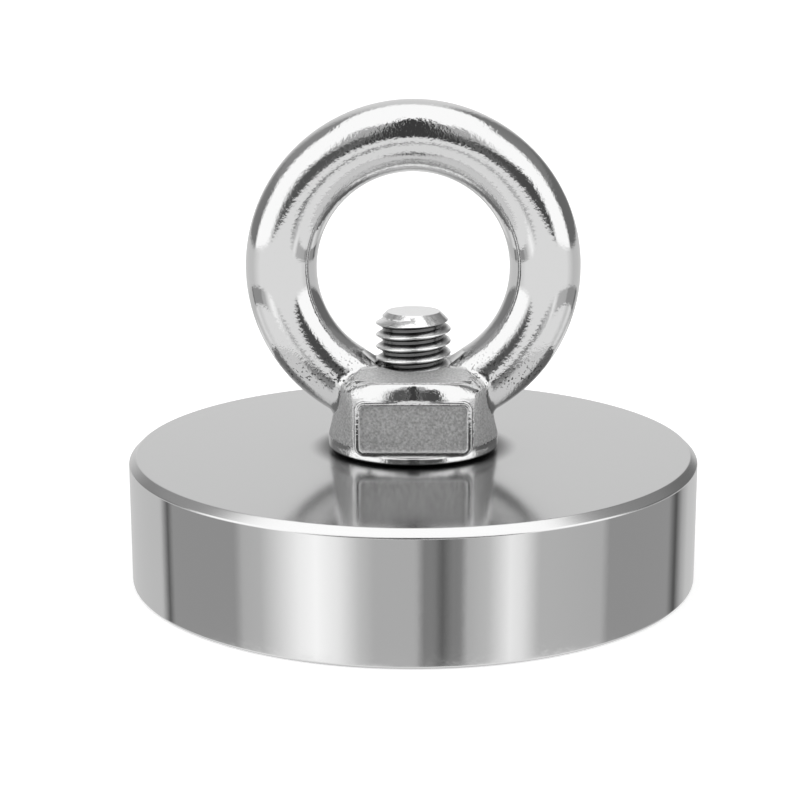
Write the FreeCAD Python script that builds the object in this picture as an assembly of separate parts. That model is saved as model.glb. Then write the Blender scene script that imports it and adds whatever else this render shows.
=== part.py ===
import FreeCAD, Part
import math
import os

# Pot magnet with a screwed-on eye, in millimetres. The origin is the centre of the plane that
# the rim rests on, +Z is up and the hole of the eye runs along Y. The open side of the pot, with
# the magnet in it, faces down.

V = FreeCAD.Vector
UP = V(0, 0, 1)
EYE_AXIS = V(0, 1, 0)

# Steel pot: a turned cup, open below
POT_DIAMETER = 60.0
POT_HEIGHT = 13.5
POT_WALL = 4.5
POT_ROOF = 4.5
POT_TOP_ROUND = 1.0
POT_RIM_CHAMFER = 0.3
POCKET_CHAMFER = 0.6

# Ring magnet and the resin that holds it in the pocket
MAGNET_RECESS = 0.2
MAGNET_CHAMFER = 0.4
BOND_SEAM = 0.5
BOND_BED = 0.2
BOND_SINK = 0.3
BOND_HOLE_MARGIN = 0.6

# Countersunk screw, M8, from below through magnet, pot and eye nut
SCREW_DIAMETER = 7.9
SCREW_TIP_ABOVE_SEAT = 14.6
SCREW_TIP_CHAMFER = 1.15
HEAD_DIAMETER = 16.0
HEAD_LAND = 0.4
HEAD_SINK = 0.3
SOCKET_ACROSS_FLATS = 5.0
SOCKET_DEPTH = 3.0
SOCKET_DRILL_POINT = 0.8
SCREW_CLEARANCE = 0.5

# Eye nut: one casting, a round foot, a block with two framed panels, a saddle and the ring
NUT_BORE_CLEARANCE = 0.05
NUT_BORE_CHAMFER = 0.5
FOOT_DIAMETER = 18.0
FOOT_HEIGHT = 1.3
FOOT_CHAMFER = 0.4
BLOCK_TOP_WIDTH = 14.6
BLOCK_TOP_DEPTH = 16.2
BLOCK_TOP_CORNER = 2.6
SHOULDER_HEIGHT = 8.5
SHOULDER_ROUND = 1.8
SADDLE_HEIGHT = 9.5
SADDLE_RIDGE_MARGIN = 1.0
SADDLE_RIDGE_WIDTH = 1.0
SADDLE_END_MARGIN = 1.2
RING_MEAN_DIAMETER = 27.5
RING_BAR_DIAMETER = 7.4
RING_CENTRE_HEIGHT = 19.2
LEG_BLEND = 1.0

# Framed panels on the front and back of the block
PANEL_WIDTH = 12.0
PANEL_HEIGHT = 5.8
PANEL_FOOT_GAP = 1.0
PANEL_FACE_DEPTH = 16.6
PANEL_CORNER = 1.0
PANEL_FRAME_WIDTH = 0.5
PANEL_FRAME_ROUND = 0.18
PANEL_SUNK = 0.4

# Places worked out from the sizes above
POT_RADIUS = POT_DIAMETER / 2
POCKET_RADIUS = POT_RADIUS - POT_WALL
POCKET_DEPTH = POT_HEIGHT - POT_ROOF
MAGNET_RADIUS = POCKET_RADIUS - BOND_SEAM
MAGNET_TOP = POCKET_DEPTH - BOND_BED
SCREW_RADIUS = SCREW_DIAMETER / 2
HOLE_RADIUS = SCREW_RADIUS + SCREW_CLEARANCE
HEAD_RADIUS = HEAD_DIAMETER / 2
HEAD_FACE = MAGNET_RECESS + HEAD_SINK
SEAT = POT_HEIGHT
SCREW_TIP = SEAT + SCREW_TIP_ABOVE_SEAT
FOOT_RADIUS = FOOT_DIAMETER / 2
SHOULDER = SEAT + SHOULDER_HEIGHT
SADDLE = SEAT + SADDLE_HEIGHT
RING_RADIUS = RING_MEAN_DIAMETER / 2
BAR_RADIUS = RING_BAR_DIAMETER / 2
RING_CENTRE = V(0, 0, SEAT + RING_CENTRE_HEIGHT)
NUT_BORE_RADIUS = SCREW_RADIUS + NUT_BORE_CLEARANCE
PANEL_FACE = PANEL_FACE_DEPTH / 2
TINY = 1e-4


def corner_cut(before, corner, after, radius):
    """Start, middle and end of the arc that rounds one corner of an outline."""
    back = (before - corner).normalize()
    ahead = (after - corner).normalize()
    half = back.getAngle(ahead) / 2
    reach = radius / math.tan(half)
    towards_centre = (back + ahead).normalize()
    middle = corner + towards_centre * (radius / math.sin(half) - radius)
    return corner + back * reach, middle, corner + ahead * reach


def rounded_outline(corners):
    """Closed wire through (point, radius) corners, each rounded by its own radius."""
    count = len(corners)
    cuts = []
    for index, (corner, radius) in enumerate(corners):
        before = corners[index - 1][0]
        after = corners[(index + 1) % count][0]
        if radius:
            cuts.append(corner_cut(before, corner, after, radius))
        else:
            cuts.append((corner, None, corner))
    edges = []
    for index, (start, middle, end) in enumerate(cuts):
        if middle:
            edges.append(Part.Arc(start, middle, end).toShape())
        following = cuts[(index + 1) % count][0]
        if end.distanceToPoint(following) > TINY:
            edges.append(Part.makeLine(end, following))
    return Part.Wire(edges)


def turned(profile):
    """Solid of revolution about Z from (radius, height, corner round) points."""
    outline = rounded_outline([(V(r, 0, z), corner_round) for r, z, corner_round in profile])
    return Part.Face(outline).revolve(V(0, 0, 0), UP, 360)


def rod(radius, bottom, top):
    return Part.makeCylinder(radius, top - bottom, V(0, 0, bottom))


def pocket():
    """Space inside the pot, which the magnet and its resin fill."""
    below = -1.0
    return turned([
        (0, below, 0),
        (POCKET_RADIUS, below, 0),
        (POCKET_RADIUS, POCKET_DEPTH - POCKET_CHAMFER, 0),
        (POCKET_RADIUS - POCKET_CHAMFER, POCKET_DEPTH, 0),
        (0, POCKET_DEPTH, 0),
    ])


def steel_pot():
    cup = turned([
        (0, 0, 0),
        (POT_RADIUS - POT_RIM_CHAMFER, 0, 0),
        (POT_RADIUS, POT_RIM_CHAMFER, 0),
        (POT_RADIUS, POT_HEIGHT, POT_TOP_ROUND),
        (0, POT_HEIGHT, 0),
    ])
    return cup.cut(pocket()).cut(rod(HOLE_RADIUS, 0, POT_HEIGHT + 1))


def magnet_blank():
    """The magnet without its hole."""
    edge = MAGNET_RADIUS - MAGNET_CHAMFER
    return turned([
        (0, MAGNET_RECESS, 0),
        (edge, MAGNET_RECESS, 0),
        (MAGNET_RADIUS, MAGNET_RECESS + MAGNET_CHAMFER, 0),
        (MAGNET_RADIUS, MAGNET_TOP - MAGNET_CHAMFER, 0),
        (edge, MAGNET_TOP, 0),
        (0, MAGNET_TOP, 0),
    ])


def countersink():
    """90 degree seat for the screw head, widening to the face of the magnet."""
    cone_start = HEAD_FACE + HEAD_LAND
    wide = HEAD_RADIUS + cone_start
    return Part.makeCone(wide, 0, wide, V(0, 0, 0))


def ring_magnet():
    return magnet_blank().cut(rod(HOLE_RADIUS, 0, POT_HEIGHT)).cut(countersink())


def epoxy_bond():
    """Resin seam around the magnet and the thin bed above it, as one casting."""
    resin = pocket().cut(magnet_blank())
    resin = resin.cut(rod(POT_RADIUS, -2, MAGNET_RECESS + BOND_SINK))
    return resin.cut(rod(HOLE_RADIUS + BOND_HOLE_MARGIN, 0, POT_HEIGHT))


def hexagon(across_flats, z):
    corner_radius = across_flats / math.sqrt(3)
    corners = []
    for step in range(7):
        angle = math.radians(60 * step)
        corners.append(V(corner_radius * math.cos(angle), corner_radius * math.sin(angle), z))
    return Part.Face(Part.makePolygon(corners))


def hex_socket():
    socket = hexagon(SOCKET_ACROSS_FLATS, HEAD_FACE).extrude(UP * SOCKET_DEPTH)
    point = Part.makeCone(
        SOCKET_ACROSS_FLATS / 2, 0, SOCKET_DRILL_POINT, V(0, 0, HEAD_FACE + SOCKET_DEPTH))
    return socket.fuse(point)


def countersunk_screw():
    cone_start = HEAD_FACE + HEAD_LAND
    cone_end = cone_start + HEAD_RADIUS - SCREW_RADIUS
    screw = turned([
        (0, HEAD_FACE, 0),
        (HEAD_RADIUS, HEAD_FACE, 0),
        (HEAD_RADIUS, cone_start, 0),
        (SCREW_RADIUS, cone_end, 0),
        (SCREW_RADIUS, SCREW_TIP - SCREW_TIP_CHAMFER, 0),
        (SCREW_RADIUS - SCREW_TIP_CHAMFER, SCREW_TIP, 0),
        (0, SCREW_TIP, 0),
    ])
    return screw.cut(hex_socket())


def rounded_rectangle(width, depth, corner, place):
    """Level rectangle with rounded corners, about the Z axis."""
    x = width / 2
    y = depth / 2
    corners = [(x, y), (-x, y), (-x, -y), (x, -y)]
    return rounded_outline([(V(cx, cy, place), corner) for cx, cy in corners])


def circle_like(outline, radius, place):
    """Level circle, divided at the same bearings as the outline that it is lofted to."""
    bearings = sorted(math.atan2(v.Point.y, v.Point.x) for v in outline.Vertexes)
    edges = []
    for index, start in enumerate(bearings):
        end = bearings[(index + 1) % len(bearings)]
        if end <= start:
            end += 2 * math.pi
        ends_and_middle = []
        for angle in (start, (start + end) / 2, end):
            ends_and_middle.append(V(radius * math.cos(angle), radius * math.sin(angle), place))
        edges.append(Part.Arc(*ends_and_middle).toShape())
    return Part.Wire(edges)


def foot():
    """Round seat of the nut, with its turned lower edge."""
    top = SEAT + FOOT_HEIGHT
    return turned([
        (0, SEAT, 0),
        (FOOT_RADIUS - FOOT_CHAMFER, SEAT, 0),
        (FOOT_RADIUS, SEAT + FOOT_CHAMFER, 0),
        (FOOT_RADIUS, top, 0),
        (0, top, 0),
    ])


def block():
    """Block that turns from the round foot into a square-shouldered top."""
    top = rounded_rectangle(BLOCK_TOP_WIDTH, BLOCK_TOP_DEPTH, BLOCK_TOP_CORNER, SHOULDER)
    bottom = circle_like(top, FOOT_RADIUS, SEAT + FOOT_HEIGHT)
    body = Part.makeLoft([bottom, top], True, True)
    shoulder_edges = [e for e in body.Edges if e.BoundBox.ZMin > SHOULDER - TINY]
    return body.makeFillet(SHOULDER_ROUND, shoulder_edges)


def rectangle(half_width, half_depth, place):
    """Level rectangle about the Z axis."""
    x, y = half_width, half_depth
    corners = [V(x, y, place), V(-x, y, place), V(-x, -y, place), V(x, -y, place)]
    return Part.makePolygon(corners + corners[:1])


def saddle():
    """Low roof on the block that the bore opens through, with its eaves at the shoulders."""
    end = BLOCK_TOP_WIDTH / 2 - SADDLE_END_MARGIN
    eaves = rectangle(end, BLOCK_TOP_DEPTH / 2 - SHOULDER_ROUND, SHOULDER)
    ridge = rectangle(NUT_BORE_RADIUS + SADDLE_RIDGE_MARGIN, SADDLE_RIDGE_WIDTH / 2, SADDLE)
    return Part.makeLoft([eaves, ridge], True, True)


def panel_outline(inset, side, depth):
    """Upright rectangle of the panel, drawn smaller by an inset all round."""
    x = PANEL_WIDTH / 2 - inset
    low = SEAT + PANEL_FOOT_GAP + inset
    high = SEAT + PANEL_FOOT_GAP + PANEL_HEIGHT - inset
    y = side * depth
    corners = [(x, low), (x, high), (-x, high), (-x, low)]
    return rounded_outline([(V(px, y, pz), PANEL_CORNER - inset) for px, pz in corners])


def panel_pad(side):
    """Raised pad that carries the frame, with its front edge eased."""
    root = FOOT_RADIUS / 2
    pad = Part.Face(panel_outline(0, side, root)).extrude(V(0, side * (PANEL_FACE - root), 0))
    face_edges = [e for e in pad.Edges if abs(abs(e.CenterOfMass.y) - PANEL_FACE) < TINY]
    return pad.makeFillet(PANEL_FRAME_ROUND, face_edges)


def panel_sink(side):
    """Space in front of the sunken floor inside the frame."""
    floor = PANEL_FACE - PANEL_SUNK
    sunk = Part.Face(panel_outline(PANEL_FRAME_WIDTH, side, floor))
    return sunk.extrude(V(0, side * 2 * PANEL_SUNK, 0))


def space_before_panels(side):
    """Room in front of a panel face, above the foot."""
    deep = FOOT_RADIUS
    low = SEAT + PANEL_FOOT_GAP
    y = PANEL_FACE if side > 0 else -PANEL_FACE - deep
    return Part.makeBox(4 * deep, deep, 2 * SHOULDER_HEIGHT, V(-2 * deep, y, low))


def bore():
    """Clearance of the thread through the nut, chamfered at both ends."""
    r = NUT_BORE_RADIUS
    c = NUT_BORE_CHAMFER
    below = SEAT - 1
    above = SADDLE + 1
    return turned([
        (0, below, 0),
        (r + c + 1, below, 0),
        (r, SEAT + c, 0),
        (r, SADDLE - c, 0),
        (r + c + 1, above, 0),
        (0, above, 0),
    ])


def on_ring(point):
    across = math.hypot(point.x, point.z - RING_CENTRE.z) - RING_RADIUS
    return abs(math.hypot(across, point.y) - BAR_RADIUS) < 0.02


def leg_edges(solid):
    """Edges where the ring runs into the block."""
    found = []
    for edge in solid.Edges:
        span = edge.LastParameter - edge.FirstParameter
        points = [edge.valueAt(edge.FirstParameter + span * k / 4) for k in range(5)]
        faces = solid.ancestorsOfType(edge, Part.Face)
        tori = [f for f in faces if isinstance(f.Surface, Part.Toroid)]
        if all(on_ring(p) for p in points) and len(faces) == 2 and len(tori) == 1:
            found.append(edge)
    return found


def eye_ring():
    """The ring, without the arc that would lie below the block."""
    ring = Part.makeTorus(RING_RADIUS, BAR_RADIUS, RING_CENTRE, EYE_AXIS)
    reach = RING_RADIUS + 2 * BAR_RADIUS
    corner = V(-reach, -reach, SEAT + FOOT_HEIGHT)
    return ring.common(Part.makeBox(2 * reach, 2 * reach, RING_CENTRE_HEIGHT + reach, corner))


def leg_blend():
    """Radius of the blend, held to half the height between the foot and the leg's outside."""
    outer = RING_RADIUS + BAR_RADIUS
    leg_height = RING_CENTRE_HEIGHT - math.sqrt(outer ** 2 - FOOT_RADIUS ** 2)
    return min(LEG_BLEND, (leg_height - FOOT_HEIGHT) / 2)


def eye_nut():
    body = foot().fuse(block()).fuse(eye_ring()).removeSplitter().Solids[0]
    body = body.makeFillet(leg_blend(), leg_edges(body)).fuse(saddle())
    for side in (-1, 1):
        body = body.cut(space_before_panels(side)).fuse(panel_pad(side)).cut(panel_sink(side))
    return body.cut(bore()).removeSplitter()


def export(name, shape):
    if len(shape.Solids) != 1 or not shape.isValid():
        raise ValueError(name + " is not one sound solid")
    shape.Solids[0].exportStep("parts/" + name + ".step")


def main():
    os.makedirs("parts", exist_ok=True)
    export("steel_pot", steel_pot())
    export("ring_magnet", ring_magnet())
    export("epoxy_bond", epoxy_bond())
    export("countersunk_screw", countersunk_screw())
    export("eye_nut", eye_nut())


main()
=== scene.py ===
import math

import bmesh
import bpy
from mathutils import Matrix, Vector


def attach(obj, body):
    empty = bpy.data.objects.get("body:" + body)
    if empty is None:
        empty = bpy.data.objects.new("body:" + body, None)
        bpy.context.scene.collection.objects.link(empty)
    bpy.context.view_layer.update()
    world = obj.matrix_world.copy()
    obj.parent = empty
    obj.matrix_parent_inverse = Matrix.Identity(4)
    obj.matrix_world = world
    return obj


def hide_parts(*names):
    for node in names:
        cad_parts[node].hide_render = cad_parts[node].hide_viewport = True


# Pot magnet with a screwed-on eye. The steel pot and the screw are modelled here, over the solids
# they stand for; the eye nut, the ring magnet and the resin keep their solids and get finishes.

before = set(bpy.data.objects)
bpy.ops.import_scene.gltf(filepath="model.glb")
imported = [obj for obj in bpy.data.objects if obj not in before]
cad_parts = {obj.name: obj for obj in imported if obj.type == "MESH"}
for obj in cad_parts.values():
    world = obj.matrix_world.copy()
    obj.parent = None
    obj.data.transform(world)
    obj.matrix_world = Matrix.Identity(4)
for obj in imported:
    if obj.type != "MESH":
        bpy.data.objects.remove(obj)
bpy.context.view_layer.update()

MM = 0.001

# Pot
POT_RADIUS = 30.0 * MM
POT_HEIGHT = 13.5 * MM
POT_WALL = 4.5 * MM
POT_ROOF = 4.5 * MM
POT_TOP_BEVEL = 0.75 * MM
POT_BEVEL_ROUND = 0.12 * MM
POT_RIM_ROUND = 0.3 * MM
POCKET_MOUTH_ROUND = 0.15 * MM
POCKET_CORNER = 0.6 * MM
HOLE_RADIUS = 4.45 * MM
POT_SIDES = 256

# Screw, M8 with a pitch of 1.25
HEAD_FACE = 0.5 * MM
HEAD_RADIUS = 8.0 * MM
HEAD_LAND = 0.4 * MM
CREST_RADIUS = 3.95 * MM
ROOT_RADIUS = 3.24 * MM
PITCH = 1.25 * MM
CREST_FLAT = PITCH / 8
CREST_CROWN = 0.07 * MM
THREAD_FLANK = math.radians(30)
THREAD_SUNK = 0.05 * MM
THREAD_FOOT = 15.0 * MM
THREAD_STEPS = 72
TIP = 28.1 * MM
TIP_CHAMFER = 1.15 * MM
SOCKET_ACROSS_FLATS = 5.0 * MM
SOCKET_DEPTH = 3.0 * MM
SOCKET_POINT = 0.8 * MM
SCREW_SIDES = 96

# Eye nut, in millimetres, for its finish
RING_CENTRE = 32.7
RING_RADIUS = 13.75
BAR_RADIUS = 3.7

# Zones of the nut, in millimetres. Each limit gives what is measured, where the zone begins and
# where it is whole; a zone lies within all of its limits.
NUT_ZONES = {
    "saddle": [("height", 21.85, 22.02)],
    "flanks": [("across", 5.95, 6.5), ("height", 14.7, 15.4), ("height", 21.3, 20.5)],
    "panel_floors": [("depth", 8.1, 7.95), ("across", 5.56, 5.54), ("height", 14.94, 14.96),
                     ("height", 19.86, 19.84)],
    "off_ring": [("from_bar", BAR_RADIUS + 0.15, BAR_RADIUS + 0.7)],
    "leg_roots": [("height", 25.0, 21.5), ("height", 20.0, 21.5), ("across", 5.0, 6.5)],
    "shoulders": [("height", 20.1, 20.5), ("height", 22.0, 21.75), ("across", 6.4, 4.6)],
}

# Shading of the nut's cast forms: how round the shoulders are across, in millimetres, how far
# they roll over, how much the foot's wall leans, and how worn the edges are
SHOULDER_CROWN = 10.5
SHOULDER_SLUMP = -0.48
FOOT_DRAFT = 0.2
EDGE_WEAR = 0.3 * MM

# Rings round the axis, in millimetres: where each begins and where it is whole
# the painted contact shadow round the nut's foot: black from 8.7 mm, gone by 11.3 mm
FOOT_PAINTED_SHADOW = (8.7, 11.3)
HANDLED_PLATE = (16.0, 9.0)
BEVELLED_PLATE = (29.1, 29.3)
# the painted highlight on the thread's crests, over painted shade in the roots
CREST_PAINTED_HIGHLIGHT = (3.4, 3.85)

# How fine each pattern is, in repeats per millimetre
PLATING_CLOUD = 0.12
PLATING_PEEL = 0.9
LAPPING_CLOUD = 0.15
DARK_SPECK = 3.6
RESIN_FLOW = 0.8
# these are 0.05 to 0.1 mm apart on the real pieces and drawn coarser, so that they show
TUMBLED_GRIT = 2.8
BLASTED_GRAIN = 4.5
SCREW_GRIT = 2.5
TURNED_RING = 2.5
GROUND_RING = 1.6
MAGNET_GRAIN = 5.0

# Colours that a finish uses twice
NICKEL = "#DCDCDC"
STAINLESS = "#D8D8D8"

# Node settings that return
SMOOTH = {"interpolation_type": "SMOOTHSTEP"}
COLOURS = {"data_type": "RGBA"}
RINGS = {"noise_dimensions": "1D"}

# Camera, on the side of the front panel, and the sweep under the pot
CAMERA_ELEVATION = math.radians(13.2)
CAMERA_DISTANCE = 200.0 * MM
CAMERA_AIM = 20.0 * MM
CAMERA_LENS = 85.1
CAMERA_SHIFT = (-0.0166, -0.0173)
SWEEP_SIZE = 12.0
SWEEP_DROP = 0.02 * MM
SWEEP_GLOW = 0.45


# Modelling by hand: selection by place, then the edit-mode operators

def start(name, add, **settings):
    """Adds a primitive with nothing else selected and opens it for editing."""
    bpy.ops.object.select_all(action="DESELECT")
    add(**settings)
    piece = bpy.context.object
    piece.name = name
    piece.data.name = name
    bpy.ops.object.transform_apply(location=True, rotation=True, scale=True)
    bpy.ops.object.mode_set(mode="EDIT")
    bpy.ops.mesh.select_all(action="DESELECT")
    return piece


def pick(piece, kind, test):
    """Selects the edges or faces that pass a test of their place, and only those."""
    bpy.ops.mesh.select_mode(type={"edges": "EDGE", "faces": "FACE"}[kind])
    bpy.ops.mesh.select_all(action="DESELECT")
    shape = bmesh.from_edit_mesh(piece.data)
    for part in getattr(shape, kind):
        if all(test(math.hypot(v.co.x, v.co.y), v.co.z) for v in part.verts):
            part.select_set(True)
    shape.select_flush_mode()
    bmesh.update_edit_mesh(piece.data)


def near(value, wanted):
    """Whether a place is the wanted one, to within 0.02 mm."""
    return abs(value - wanted) < 0.02 * MM


def close(piece, angle=30):
    """Ends the editing: normals outwards, smooth shading up to an angle."""
    bpy.ops.mesh.select_all(action="SELECT")
    bpy.ops.mesh.remove_doubles(threshold=0.0005 * MM)
    bpy.ops.mesh.normals_make_consistent(inside=False)
    bpy.ops.object.mode_set(mode="OBJECT")
    bpy.ops.object.shade_smooth_by_angle(angle=math.radians(angle))
    return piece


def modify(piece, kind, **settings):
    """Adds a modifier and applies it."""
    bpy.ops.object.select_all(action="DESELECT")
    piece.select_set(True)
    bpy.context.view_layer.objects.active = piece
    modifier = piece.modifiers.new(kind.title(), kind)
    for name, value in settings.items():
        setattr(modifier, name, value)
    bpy.ops.object.modifier_apply(modifier=modifier.name)


def cut_or_join(piece, tool, operation):
    """Applies a boolean and drops the tool."""
    modify(piece, "BOOLEAN", operation=operation, object=tool, solver="EXACT")
    bpy.data.objects.remove(tool)


def turned_pot():
    """The pot as a turner would make it: bar, top, pocket, hole, then the broken edges."""
    pot = start("pot_body", bpy.ops.mesh.primitive_cylinder_add, vertices=POT_SIDES,
                radius=POT_RADIUS, depth=POT_HEIGHT, location=(0, 0, POT_HEIGHT / 2))
    pocket_radius = POT_RADIUS - POT_WALL
    pocket_depth = POT_HEIGHT - POT_ROOF
    pick(pot, "faces", lambda r, z: near(z, POT_HEIGHT))
    bpy.ops.mesh.inset(thickness=POT_RADIUS - HOLE_RADIUS)
    pick(pot, "faces", lambda r, z: near(z, 0))
    bpy.ops.mesh.inset(thickness=POT_WALL)
    bpy.ops.mesh.extrude_region_move(TRANSFORM_OT_translate={"value": (0, 0, pocket_depth)})
    bpy.ops.mesh.inset(thickness=pocket_radius - HOLE_RADIUS)
    pick(pot, "faces", lambda r, z: r < HOLE_RADIUS + 0.1 * MM)
    bpy.ops.mesh.bridge_edge_loops()
    # each edge to break: its radius and height, how wide, and in how many facets
    for radius, height, width, facets in [
        (POT_RADIUS, POT_HEIGHT, POT_TOP_BEVEL, 1),
        (POT_RADIUS - POT_TOP_BEVEL, POT_HEIGHT, POT_BEVEL_ROUND, 3),
        (POT_RADIUS, POT_HEIGHT - POT_TOP_BEVEL, POT_BEVEL_ROUND, 3),
        (POT_RADIUS, 0, POT_RIM_ROUND, 3),
        (pocket_radius, 0, POCKET_MOUTH_ROUND, 2),
        (pocket_radius, pocket_depth, POCKET_CORNER, 1),
    ]:
        pick(pot, "edges", lambda r, z: near(r, radius) and near(z, height))
        bpy.ops.mesh.bevel(offset=width, segments=facets, clamp_overlap=False)
    close(pot)
    modify(pot, "WEIGHTED_NORMAL", keep_sharp=True, weight=80)
    return pot


def thread_ridge():
    """One rolled thread, a crowned V swept up the shank along its helix."""
    depth = CREST_RADIUS - ROOT_RADIUS + THREAD_SUNK
    half = CREST_FLAT / 2
    foot = half + depth * math.tan(THREAD_FLANK)
    upper_half = [
        (CREST_RADIUS - CREST_CROWN * 0.25, half * 0.7),
        (CREST_RADIUS - CREST_CROWN, half + CREST_CROWN * 0.4),
        (CREST_RADIUS - depth, foot),
    ]
    section = [(r, -z) for r, z in reversed(upper_half)] + [(CREST_RADIUS, 0)] + upper_half
    ridge = start("thread_ridge", bpy.ops.mesh.primitive_plane_add, size=1)
    bpy.ops.mesh.select_all(action="SELECT")
    bpy.ops.mesh.delete(type="VERT")
    shape = bmesh.from_edit_mesh(ridge.data)
    ring = [shape.verts.new((r, 0, THREAD_FOOT + z)) for r, z in section]
    for first, second in zip(ring, ring[1:] + ring[:1]):
        shape.edges.new((first, second))
    bmesh.update_edit_mesh(ridge.data)
    bpy.ops.object.mode_set(mode="OBJECT")
    turns = math.ceil((TIP - THREAD_FOOT) / PITCH) + 1
    modify(ridge, "SCREW", angle=2 * math.pi, screw_offset=PITCH, iterations=turns, axis="Z",
           steps=THREAD_STEPS, render_steps=THREAD_STEPS, use_normal_calculate=True)
    bpy.ops.object.mode_set(mode="EDIT")
    bpy.ops.mesh.select_all(action="SELECT")
    bpy.ops.mesh.fill_holes(sides=0)
    return close(ridge, 40)


def thread_envelope():
    """What a thread may fill: a bar with the coned tip of the screw."""
    bar = start("envelope", bpy.ops.mesh.primitive_cylinder_add, vertices=SCREW_SIDES,
                radius=CREST_RADIUS + 0.01 * MM, depth=TIP, location=(0, 0, TIP / 2))
    pick(bar, "edges", lambda r, z: near(z, TIP))
    bpy.ops.mesh.bevel(offset=TIP_CHAMFER, segments=1, clamp_overlap=False)
    return close(bar)


def hex_socket():
    """Cutter for the socket, with the point that the drill leaves."""
    cutter = start("socket", bpy.ops.mesh.primitive_cylinder_add, vertices=6,
                   radius=SOCKET_ACROSS_FLATS / math.sqrt(3), depth=2 * SOCKET_DEPTH,
                   location=(0, 0, HEAD_FACE))
    pick(cutter, "faces", lambda r, z: near(z, HEAD_FACE + SOCKET_DEPTH))
    bpy.ops.mesh.extrude_region_move(TRANSFORM_OT_translate={"value": (0, 0, SOCKET_POINT)})
    bpy.ops.transform.resize(value=(0.1, 0.1, 1))
    return close(cutter)


def countersunk_screw():
    """Flat-head socket screw whose threaded end stands up through the nut."""
    screw = start("threaded_stud", bpy.ops.mesh.primitive_cylinder_add, vertices=SCREW_SIDES,
                  radius=HEAD_RADIUS, depth=HEAD_LAND, location=(0, 0, HEAD_FACE + HEAD_LAND / 2))
    cone_start = HEAD_FACE + HEAD_LAND
    cone_height = HEAD_RADIUS - ROOT_RADIUS
    shank = TIP - cone_start - cone_height
    shrink = ROOT_RADIUS / HEAD_RADIUS
    pick(screw, "faces", lambda r, z: near(z, cone_start))
    bpy.ops.mesh.extrude_region_move(TRANSFORM_OT_translate={"value": (0, 0, cone_height)})
    bpy.ops.transform.resize(value=(shrink, shrink, 1))
    bpy.ops.mesh.extrude_region_move(TRANSFORM_OT_translate={"value": (0, 0, shank)})
    pick(screw, "edges", lambda r, z: near(z, TIP))
    bpy.ops.mesh.bevel(offset=TIP_CHAMFER - (CREST_RADIUS - ROOT_RADIUS), segments=1,
                       clamp_overlap=False)
    close(screw)
    ridge = thread_ridge()
    cut_or_join(ridge, thread_envelope(), "INTERSECT")
    cut_or_join(screw, ridge, "UNION")
    cut_or_join(screw, hex_socket(), "DIFFERENCE")
    bpy.ops.object.shade_smooth_by_angle(angle=math.radians(35))
    return screw


# Finishes. Their patterns measure in millimetres, on the object's own coordinates.

def hex_colour(code):
    """Linear colour from an sRGB hex value."""
    parts = [int(code[i:i + 2], 16) / 255 for i in (1, 3, 5)]
    linear = [c / 12.92 if c <= 0.04045 else ((c + 0.055) / 1.055) ** 2.4 for c in parts]
    return (*linear, 1.0)


def node(tree, kind, settings=None, inputs=None):
    """Adds a node. Settings are its own; each input is a value, the socket that feeds it, or a
    node whose first socket does. A colour mix has its factor at 0 and its colours at 6 and 7."""
    made = tree.nodes.new(kind)
    for name, value in (settings or {}).items():
        setattr(made, name, value)
    for name, value in (inputs or {}).items():
        if isinstance(value, bpy.types.Node):
            value = value.outputs[0]
        if isinstance(value, bpy.types.NodeSocket):
            tree.links.new(value, made.inputs[name])
        else:
            made.inputs[name].default_value = value
    return made


def finish(name, colour, roughness, metallic=1.0):
    """A new material: its tree, its shader, its shader's sockets and the place in millimetres."""
    material = bpy.data.materials.new(name)
    material.use_nodes = True
    tree = material.node_tree
    shader = tree.nodes["Principled BSDF"]
    shader.inputs["Base Color"].default_value = hex_colour(colour)
    shader.inputs["Roughness"].default_value = roughness
    shader.inputs["Metallic"].default_value = metallic
    metres = node(tree, "ShaderNodeTexCoord").outputs["Object"]
    place = node(tree, "ShaderNodeMapping", None, {"Vector": metres, "Scale": (1000, 1000, 1000)})
    return material, tree, shader.inputs, place


def off_axis(tree, place):
    """Distance from the axis of the pot and the screw."""
    level = node(tree, "ShaderNodeVectorMath", {"operation": "MULTIPLY"}, {0: place, 1: (1, 1, 0)})
    return node(tree, "ShaderNodeVectorMath", {"operation": "LENGTH"}, {0: level}).outputs["Value"]


def bright_nickel():
    """Bright nickel plate over a turned wall. The eye gets a mirror, a little clouded by handling
    and with barely any orange peel, so that straight things bend in it only slightly."""
    material, tree, shader, place = finish("bright_nickel_plate", NICKEL, 0.03)
    cloud = node(tree, "ShaderNodeTexNoise", None,
                 {"Vector": place, "Scale": PLATING_CLOUD, "Detail": 3.0})
    worn = node(tree, "ShaderNodeMapRange", None, {"Value": cloud, "To Min": 0.02, "To Max": 0.05})
    tree.links.new(worn.outputs[0], shader["Roughness"])
    peel = node(tree, "ShaderNodeTexNoise", None,
                {"Vector": place, "Scale": PLATING_PEEL, "Detail": 2.0})
    bump = node(tree, "ShaderNodeBump", None,
                {"Height": peel, "Strength": 0.01, "Distance": 0.0002})
    tree.links.new(bump.outputs["Normal"], shader["Normal"])
    return material


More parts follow.
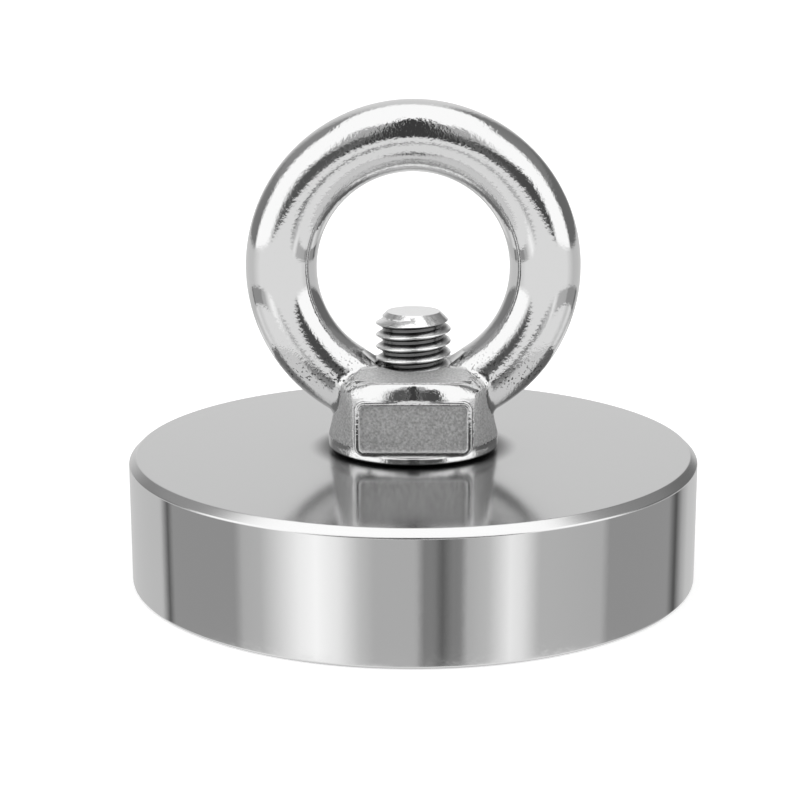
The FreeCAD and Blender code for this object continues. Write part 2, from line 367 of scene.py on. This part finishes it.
def lapped_nickel():
    """The same plate over the lapped top and its bevel. The eye gets a softer mirror than the wall's,
    duller round the foot of the nut. Its colour holds painted shade: the top is a darker grey than the
    bevel and the wall, and a black painted contact shadow lies round the foot of the nut."""
    material, tree, shader, place = finish("lapped_nickel_plate", NICKEL, 0.12)
    out = off_axis(tree, place)
    past_painted_shadow, handled, bevel = [
        node(tree, "ShaderNodeMapRange", SMOOTH, {"Value": out, "From Min": begins, "From Max": whole})
        for begins, whole in (FOOT_PAINTED_SHADOW, HANDLED_PLATE, BEVELLED_PLATE)]
    # painted contact shadow: near black by the nut's foot, fading out to the top's grey
    colour = node(tree, "ShaderNodeMix", COLOURS,
                  {0: past_painted_shadow, 6: hex_colour("#080808"), 7: hex_colour("#C8C8C8")}).outputs[2]
    # painted shade: the top's C8 is darker than the DC of the bevel and the wall, so that the top
    # mirrors dimmer
    colour = node(tree, "ShaderNodeMix", COLOURS,
                  {0: bevel, 6: colour, 7: hex_colour(NICKEL)}).outputs[2]
    tree.links.new(colour, shader["Base Color"])
    cloud = node(tree, "ShaderNodeTexNoise", None,
                 {"Vector": place, "Scale": LAPPING_CLOUD, "Detail": 3.0})
    lapped = node(tree, "ShaderNodeMapRange", None, {"Value": cloud, "To Min": 0.11, "To Max": 0.15})
    roughness = node(tree, "ShaderNodeMix", None, {0: bevel, 2: lapped, 3: 0.22})
    roughness = node(tree, "ShaderNodeMath", {"operation": "MULTIPLY_ADD"},
                     {0: handled, 1: 0.1, 2: roughness})
    tree.links.new(roughness.outputs[0], shader["Roughness"])
    return material


def cast_stainless():
    """Investment-cast stainless steel, blasted and then tumbled. The eye gets a wet-looking polish on
    the ring, shoulders, frames and foot, broken up by grit, and pale blasted satin where the tumbling
    doesn't reach, with a few dark specks by the ring's legs."""
    material, tree, shader, place = finish("cast_stainless", STAINLESS, 0.08)
    axes = node(tree, "ShaderNodeSeparateXYZ", None, {"Vector": place}).outputs
    height = axes["Z"]
    across = node(tree, "ShaderNodeMath", {"operation": "ABSOLUTE"}, {0: axes["X"]})
    depth = node(tree, "ShaderNodeMath", {"operation": "ABSOLUTE"}, {0: axes["Y"]})
    # distance from the middle of the ring's bar
    upright = node(tree, "ShaderNodeMapping", None,
                   {"Vector": place, "Location": (0, 0, -RING_CENTRE), "Scale": (1, 0, 1)})
    round_ring = node(tree, "ShaderNodeVectorMath", {"operation": "LENGTH"},
                      {0: upright}).outputs["Value"]
    off_mean = node(tree, "ShaderNodeMath", {"operation": "SUBTRACT"}, {0: round_ring, 1: RING_RADIUS})
    section = node(tree, "ShaderNodeCombineXYZ", None, {"X": off_mean, "Y": axes["Y"]})
    from_bar = node(tree, "ShaderNodeVectorMath", {"operation": "LENGTH"},
                    {0: section}).outputs["Value"]
    measures = {"height": height, "across": across, "depth": depth, "from_bar": from_bar}
    zones = {}
    for name, limits in NUT_ZONES.items():
        for measure, begins, whole in limits:
            within = node(tree, "ShaderNodeMapRange", SMOOTH,
                          {"Value": measures[measure], "From Min": begins, "From Max": whole})
            if name in zones:
                within = node(tree, "ShaderNodeMath", {"operation": "MULTIPLY"},
                              {0: zones[name], 1: within})
            zones[name] = within
    # satin on the saddle, the flanks and the panels, with a mottled edge towards the polish
    satin = node(tree, "ShaderNodeMath", {"operation": "MAXIMUM"},
                 {0: zones["saddle"], 1: zones["flanks"]})
    satin = node(tree, "ShaderNodeMath", {"operation": "MAXIMUM"},
                 {0: satin, 1: zones["panel_floors"]})
    satin = node(tree, "ShaderNodeMath", {"operation": "MULTIPLY"}, {0: satin, 1: zones["off_ring"]})
    grit = node(tree, "ShaderNodeTexNoise", None,
                {"Vector": place, "Scale": TUMBLED_GRIT, "Detail": 3.0, "Roughness": 0.5})
    broken = node(tree, "ShaderNodeMath", {"operation": "MULTIPLY_ADD"}, {0: grit, 1: 1.2, 2: satin})
    satin = node(tree, "ShaderNodeMapRange", SMOOTH,
                 {"Value": broken, "From Min": 0.95, "From Max": 1.25})
    roughness = node(tree, "ShaderNodeMapRange", None, {"Value": satin, "To Min": 0.03, "To Max": 0.58})
    tree.links.new(roughness.outputs[0], shader["Roughness"])
    # blasted tones; the saddle, which faces up, gets a paler copy of them: painted light
    grain = node(tree, "ShaderNodeTexNoise", None,
                 {"Vector": place, "Scale": BLASTED_GRAIN, "Detail": 3.0})
    patchy = node(tree, "ShaderNodeMapRange", None, {"Value": grain, "From Min": 0.3, "From Max": 0.7})
    flank_tone = node(tree, "ShaderNodeMix", COLOURS,
                      {0: patchy, 6: hex_colour("#B2B2B2"), 7: hex_colour("#E2E2E2")}).outputs[2]
    saddle_painted_light = node(tree, "ShaderNodeMix", COLOURS,
                       {0: patchy, 6: hex_colour("#CECECE"), 7: hex_colour("#F2F2F2")}).outputs[2]
    blasted = node(tree, "ShaderNodeMix", COLOURS,
                   {0: zones["saddle"], 6: flank_tone, 7: saddle_painted_light}).outputs[2]
    colour = node(tree, "ShaderNodeMix", COLOURS,
                  {0: satin, 6: hex_colour(STAINLESS), 7: blasted}).outputs[2]
    # dark specks, 0.2 mm across, where the ring runs into the block
    speck = node(tree, "ShaderNodeTexNoise", None,
                 {"Vector": place, "Scale": DARK_SPECK, "Detail": 1.0})
    speck = node(tree, "ShaderNodeMapRange", None, {"Value": speck, "From Min": 0.6, "From Max": 0.66})
    speck = node(tree, "ShaderNodeMath", {"operation": "MULTIPLY"}, {0: speck, 1: zones["leg_roots"]})
    colour = node(tree, "ShaderNodeMix", COLOURS,
                  {0: speck, 6: colour, 7: hex_colour("#4A4A4A")}).outputs[2]
    tree.links.new(colour, shader["Base Color"])
    # Worn edges. The shoulders are crowned a little, as the foot is round, and roll over slowly;
    # the foot's wall leans as if drafted.
    soft = node(tree, "ShaderNodeBevel", {"samples": 8}, {"Radius": EDGE_WEAR})
    crown = node(tree, "ShaderNodeMath", {"operation": "DIVIDE"}, {0: axes["X"], 1: SHOULDER_CROWN})
    slump = node(tree, "ShaderNodeMapRange", SMOOTH,
                 {"Value": height, "From Min": 20.4, "From Max": 21.7, "To Max": SHOULDER_SLUMP})
    lean = node(tree, "ShaderNodeCombineXYZ", None, {"X": crown, "Z": slump})
    lean = node(tree, "ShaderNodeVectorMath", {"operation": "SCALE"},
                {0: lean, "Scale": zones["shoulders"]})
    draft = node(tree, "ShaderNodeMapRange", SMOOTH,
                 {"Value": height, "From Min": 14.8, "From Max": 14.45, "To Max": FOOT_DRAFT})
    draft = node(tree, "ShaderNodeCombineXYZ", None, {"Z": draft})
    for added in (lean, draft):
        soft = node(tree, "ShaderNodeVectorMath", {"operation": "ADD"}, {0: soft, 1: added})
    soft = node(tree, "ShaderNodeVectorMath", {"operation": "NORMALIZE"}, {0: soft})
    # grit dimples, least on the sides of the ring, which tumble smoothest, and the blasted grain
    off_middle = node(tree, "ShaderNodeMath", {"operation": "SUBTRACT"}, {0: height, 1: RING_CENTRE})
    off_middle = node(tree, "ShaderNodeMath", {"operation": "ABSOLUTE"}, {0: off_middle})
    gritty = node(tree, "ShaderNodeMapRange", SMOOTH,
                  {"Value": off_middle, "From Min": 2.0, "From Max": 8.0,
                   "To Min": 0.05, "To Max": 0.25})
    bump = node(tree, "ShaderNodeBump", None,
                {"Height": grit, "Strength": gritty, "Distance": 0.0001, "Normal": soft})
    pitted = node(tree, "ShaderNodeMath", {"operation": "MULTIPLY"}, {0: grain, 1: satin})
    bump = node(tree, "ShaderNodeBump", None,
                {"Height": pitted, "Strength": 0.8, "Distance": 0.0001, "Normal": bump})
    tree.links.new(bump.outputs["Normal"], shader["Normal"])
    return material


def rolled_screw():
    """Steel screw with a rolled thread and a turned head. Its colour holds painted light: painted
    highlights on the crests and the tip, and painted shade on the flanks, darkening towards the root.
    The head gets faint turning rings."""
    material, tree, shader, place = finish("rolled_screw_steel", "#C8C8C8", 0.18)
    out = off_axis(tree, place)
    height = node(tree, "ShaderNodeSeparateXYZ", None, {"Vector": place}).outputs["Z"]
    crest = node(tree, "ShaderNodeMapRange", SMOOTH,
                 {"Value": out, "From Min": CREST_PAINTED_HIGHLIGHT[0], "From Max": CREST_PAINTED_HIGHLIGHT[1]})
    tip = node(tree, "ShaderNodeMath", {"operation": "GREATER_THAN"},
               {0: height, 1: (TIP - TIP_CHAMFER) / MM})
    bright = node(tree, "ShaderNodeMath", {"operation": "MAXIMUM"}, {0: crest, 1: tip})
    # painted light on the thread: near white on the crests and the tip, dark grey in the roots
    thread = node(tree, "ShaderNodeMix", COLOURS,
                  {0: bright, 6: hex_colour("#6C6C6C"), 7: hex_colour("#F0F0F0")}).outputs[2]
    turned = node(tree, "ShaderNodeTexNoise", RINGS, {"W": out, "Scale": TURNED_RING, "Detail": 2.0})
    head = node(tree, "ShaderNodeMix", COLOURS,
                {0: turned, 6: hex_colour("#A8A8A8"), 7: hex_colour("#CECECE")}).outputs[2]
    threaded = node(tree, "ShaderNodeMath", {"operation": "GREATER_THAN"},
                    {0: height, 1: THREAD_FOOT / MM})
    colour = node(tree, "ShaderNodeMix", COLOURS, {0: threaded, 6: head, 7: thread}).outputs[2]
    tree.links.new(colour, shader["Base Color"])
    grit = node(tree, "ShaderNodeTexNoise", None, {"Vector": place, "Scale": SCREW_GRIT, "Detail": 3.0})
    bump = node(tree, "ShaderNodeBump", None, {"Height": grit, "Strength": 0.2, "Distance": 0.0001})
    tree.links.new(bump.outputs["Normal"], shader["Normal"])
    return material


def magnet_plate():
    """Nickel plate over a ground magnet. The eye gets satin with a fine even grain and the faint
    rings of grinding."""
    material, tree, shader, place = finish("satin_magnet_plate", "#B4B3B1", 0.32)
    out = off_axis(tree, place)
    ground = node(tree, "ShaderNodeTexNoise", RINGS, {"W": out, "Scale": GROUND_RING, "Detail": 4.0})
    ringed = node(tree, "ShaderNodeMix", COLOURS,
                  {0: ground, 6: hex_colour("#A09F9D"), 7: hex_colour("#C6C5C3")}).outputs[2]
    tree.links.new(ringed, shader["Base Color"])
    worn = node(tree, "ShaderNodeMapRange", None, {"Value": ground, "To Min": 0.24, "To Max": 0.42})
    tree.links.new(worn.outputs[0], shader["Roughness"])
    grain = node(tree, "ShaderNodeTexNoise", None,
                 {"Vector": place, "Scale": MAGNET_GRAIN, "Detail": 3.0})
    bump = node(tree, "ShaderNodeBump", None, {"Height": grain, "Strength": 0.25, "Distance": 0.00005})
    tree.links.new(bump.outputs["Normal"], shader["Normal"])
    return material


def epoxy():
    """Potting epoxy, poured grey. The eye gets a dark gloss that ripples a little, as it set
    against the air."""
    material, tree, shader, place = finish("potting_epoxy", "#3A3B3C", 0.25, metallic=0.0)
    flow = node(tree, "ShaderNodeTexNoise", None, {"Vector": place, "Scale": RESIN_FLOW, "Detail": 2.0})
    bump = node(tree, "ShaderNodeBump", None, {"Height": flow, "Strength": 0.3, "Distance": 0.0002})
    tree.links.new(bump.outputs["Normal"], shader["Normal"])
    return material


def dress(piece, *materials):
    piece.data.materials.clear()
    for material in materials:
        piece.data.materials.append(material)


# Studio: a white sweep for the camera, and around it the softboxes and flags that the metal
# mirrors. Each row is (azimuth in degrees from the camera, grey as the two digits of its hex).
# SOFTBOX_LEVEL times the grey DC is about 1, the white that the camera sees.

SOFTBOX_LEVEL = 1.38

# below the uprights: the sweep, with a few grey stands behind the part
FLOORWARD = [
    (-180, "D0"), (-165, "A4"), (-150, "DC"), (-128, "B4"), (-108, "DC"), (-95, "CA"), (-80, "DC"),
    (-30, "DC"), (0, "D6"), (30, "DC"), (80, "DC"), (96, "C0"), (112, "DC"), (132, "A8"), (148, "DC"),
    (165, "B8"), (180, "D0"),
]

# mirrored by the pot's wall, between 14 and 23 degrees under the horizon
UPRIGHTS = [
    (-180, "B6"), (-120, "B6"), (-114, "57"), (-110, "8D"), (-74, "8D"), (-70, "A9"), (-62, "AE"),
    (-55, "C9"), (-45, "EB"), (-38, "F6"), (-29, "E4"), (-21, "BB"), (-15, "A9"), (1, "A9"),
    (4, "7B"), (8, "7B"), (11, "5A"), (15, "7B"), (18, "7B"), (21, "A9"), (29, "B7"), (38, "E7"),
    (43, "DD"), (50, "AF"), (79, "A9"), (83, "8D"), (122, "8D"), (129, "49"), (136, "9C"), (144, "B6"),
]

# over the uprights, up to the horizon
TABLE = [
    (-180, "C4"), (-160, "C0"), (-100, "C0"), (-70, "DC"), (70, "DC"), (100, "BA"), (160, "BE"),
    (180, "C4"),
]

# from the horizon up: camera and stand in front, two softboxes, side walls, back wall
STANDING = [
    (-180, "CC"), (-166, "CC"), (-152, "B6"), (-138, "7C"), (-98, "74"), (-91, "FF"), (-48, "FF"),
    (-40, "D0"), (-34, "70"), (-28, "54"), (-14, "54"), (-9, "70"), (-6, "3C"), (6, "3C"), (9, "70"),
    (14, "54"), (20, "4A"), (40, "4A"), (46, "FF"), (86, "FF"), (94, "66"), (150, "66"), (166, "CC"),
]

# above the camera
LIFTED = [
    (-180, "CC"), (-166, "CC"), (-152, "B8"), (-138, "88"), (-104, "86"), (-93, "FF"), (-38, "FF"),
    (-31, "E8"), (-26, "A4"), (-12, "AC"), (-9, "3C"), (9, "3C"), (12, "AC"), (22, "A4"), (30, "E8"),
    (35, "FF"), (84, "FF"), (96, "80"), (150, "74"), (166, "CC"),
]


def studio():
    """The world: white to the camera and through glass, and the studio to everything else."""
    world = bpy.data.worlds.new("studio")
    bpy.context.scene.world = world
    world.use_nodes = True
    tree = world.node_tree
    tree.nodes.clear()
    way = node(tree, "ShaderNodeTexCoord").outputs["Generated"]
    axes = node(tree, "ShaderNodeSeparateXYZ", None, {"Vector": way}).outputs
    front = node(tree, "ShaderNodeMath", {"operation": "MULTIPLY"}, {0: axes["Y"], 1: -1.0})
    azimuth = node(tree, "ShaderNodeMath", {"operation": "ARCTAN2"}, {0: axes["X"], 1: front})
    around = node(tree, "ShaderNodeMath", {"operation": "MULTIPLY_ADD"},
                  {0: azimuth, 1: 0.5 / math.pi, 2: 0.5})
    aside = node(tree, "ShaderNodeMath", {"operation": "ABSOLUTE"}, {0: azimuth})
    rise = node(tree, "ShaderNodeMath", {"operation": "ARCSINE"}, {0: axes["Z"]})
    # the uprights climb a little round to the back
    belt = node(tree, "ShaderNodeMath", {"operation": "MULTIPLY_ADD"}, {0: aside, 1: -0.0125, 2: rise})
    # the ceiling begins 12 degrees higher over the camera, and 8 higher from the sides back
    top = rise
    for begins, ends, higher, then_higher in [(6, 13, 12, 0), (55, 100, 0, 8)]:
        lift = node(tree, "ShaderNodeMapRange", SMOOTH,
                    {"Value": aside, "From Min": math.radians(begins), "From Max": math.radians(ends),
                     "To Min": math.radians(-higher), "To Max": math.radians(-then_higher)})
        top = node(tree, "ShaderNodeMath", {"operation": "ADD"}, {0: top, 1: lift})
    ramps = []
    for tones in (FLOORWARD, UPRIGHTS, TABLE, STANDING, LIFTED):
        ramp = node(tree, "ShaderNodeValToRGB", None, {"Fac": around})
        stops = ramp.color_ramp.elements
        while len(stops) < len(tones):
            stops.new(1.0)
        for stop, (angle, tone) in zip(stops, tones):
            stop.position = (angle + 180) / 360
        for stop, (angle, tone) in zip(stops, tones):
            stop.color = hex_colour("#" + tone * 3)
        ramps.append(ramp)
    floorward, uprights, table, standing, lifted = ramps
    # the ceiling is white but for its back, which the pot's top mirrors
    behind = node(tree, "ShaderNodeMapRange", SMOOTH,
                  {"Value": axes["Y"], "From Min": 0.42, "From Max": 0.58})
    ceiling = node(tree, "ShaderNodeMix", COLOURS,
                   {0: behind, 6: hex_colour("#FFFFFF"), 7: hex_colour("#C8C8C8")}).outputs[2]
    # from below: the height measured, the degrees where a layer begins and is whole, its look
    room = hex_colour("#B0B0B0")
    for height, begins, whole, seen in [
        (rise, -76.0, -56.0, floorward),
        (belt, -22.8, -22.0, uprights),
        (belt, -16.9, -15.4, table),
        (rise, -2.5, 1.0, standing),
        (rise, 20.0, 26.0, lifted),
        (top, 46.0, 49.0, ceiling),
    ]:
        reached = node(tree, "ShaderNodeMapRange", SMOOTH,
                       {"Value": height, "From Min": math.radians(begins),
                        "From Max": math.radians(whole)})
        room = node(tree, "ShaderNodeMix", COLOURS, {0: reached, 6: room, 7: seen}).outputs[2]
    metal_sees = node(tree, "ShaderNodeBackground", None, {"Color": room, "Strength": SOFTBOX_LEVEL})
    camera_sees = node(tree, "ShaderNodeBackground", None, {"Color": (1, 1, 1, 1), "Strength": 1.0})
    # Light is also sampled from the world with no ray kind set, so a branch for glossy rays alone
    # would give metal two different rooms. It gets the sweep's white from the grey DC instead.
    ray = node(tree, "ShaderNodeLightPath").outputs
    plain = node(tree, "ShaderNodeMath", {"operation": "MAXIMUM"},
                 {0: ray["Is Camera Ray"], 1: ray["Is Transmission Ray"]})
    mixed = node(tree, "ShaderNodeMixShader", None, {0: plain, 1: metal_sees, 2: camera_sees})
    node(tree, "ShaderNodeOutputWorld", None, {"Surface": mixed})


def white_floor():
    """Pale sweep: white to what looks at it, with the pot's soft shadow, and clear from below.
    It lies a hair under the rim, and metal mirrors the studio's lower half in its place."""
    bpy.ops.object.select_all(action="DESELECT")
    bpy.ops.mesh.primitive_plane_add(size=SWEEP_SIZE, location=(0, 0, -SWEEP_DROP))
    floor = bpy.context.object
    floor.name = "floor"
    material = bpy.data.materials.new("pale_sweep")
    material.use_nodes = True
    tree = material.node_tree
    tree.nodes.clear()
    ray = node(tree, "ShaderNodeLightPath").outputs
    looked_at = ray["Is Camera Ray"]
    for kind in ("Is Glossy Ray", "Is Transmission Ray"):
        looked_at = node(tree, "ShaderNodeMath", {"operation": "MAXIMUM"}, {0: looked_at, 1: ray[kind]})
    paper = node(tree, "ShaderNodeBsdfDiffuse", None, {"Color": hex_colour("#E8E8E8")})
    glow = node(tree, "ShaderNodeEmission", None, {"Color": (1, 1, 1, 1), "Strength": SWEEP_GLOW})
    lit = node(tree, "ShaderNodeAddShader", None, {0: paper, 1: glow})
    seen = node(tree, "ShaderNodeMixShader", None, {0: looked_at, 1: paper, 2: lit})
    clear = node(tree, "ShaderNodeBsdfTransparent")
    below = node(tree, "ShaderNodeNewGeometry").outputs["Backfacing"]
    sides = node(tree, "ShaderNodeMixShader", None, {0: below, 1: seen, 2: clear})
    node(tree, "ShaderNodeOutputMaterial", None, {"Surface": sides})
    dress(floor, material)
    floor.visible_glossy = False


def camera():
    """Looks down a little on the foot of the ring."""
    data = bpy.data.cameras.new("camera")
    data.lens = CAMERA_LENS
    data.sensor_width = 36.0
    data.shift_x, data.shift_y = CAMERA_SHIFT
    view = bpy.data.objects.new("camera", data)
    bpy.context.scene.collection.objects.link(view)
    back = Vector((0, -math.cos(CAMERA_ELEVATION), math.sin(CAMERA_ELEVATION)))
    view.location = Vector((0, 0, CAMERA_AIM)) + back * CAMERA_DISTANCE
    view.rotation_euler = (-back).to_track_quat("-Z", "Y").to_euler()
    bpy.context.scene.camera = view


def main():
    pot = turned_pot()
    dress(pot, bright_nickel(), lapped_nickel())
    bevel_foot = POT_HEIGHT - POT_TOP_BEVEL - 2 * POT_BEVEL_ROUND
    for face in pot.data.polygons:
        if face.normal.z > 0.1 and face.center.z > bevel_foot:
            face.material_index = 1
    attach(pot, "root")
    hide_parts("steel_pot")
    screw = countersunk_screw()
    dress(screw, rolled_screw())
    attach(screw, "root")
    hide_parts("countersunk_screw")
    dress(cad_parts["eye_nut"], cast_stainless())
    dress(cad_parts["ring_magnet"], magnet_plate())
    dress(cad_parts["epoxy_bond"], epoxy())
    studio()
    white_floor()
    camera()
    bpy.context.scene.view_settings.view_transform = "Standard"


main()
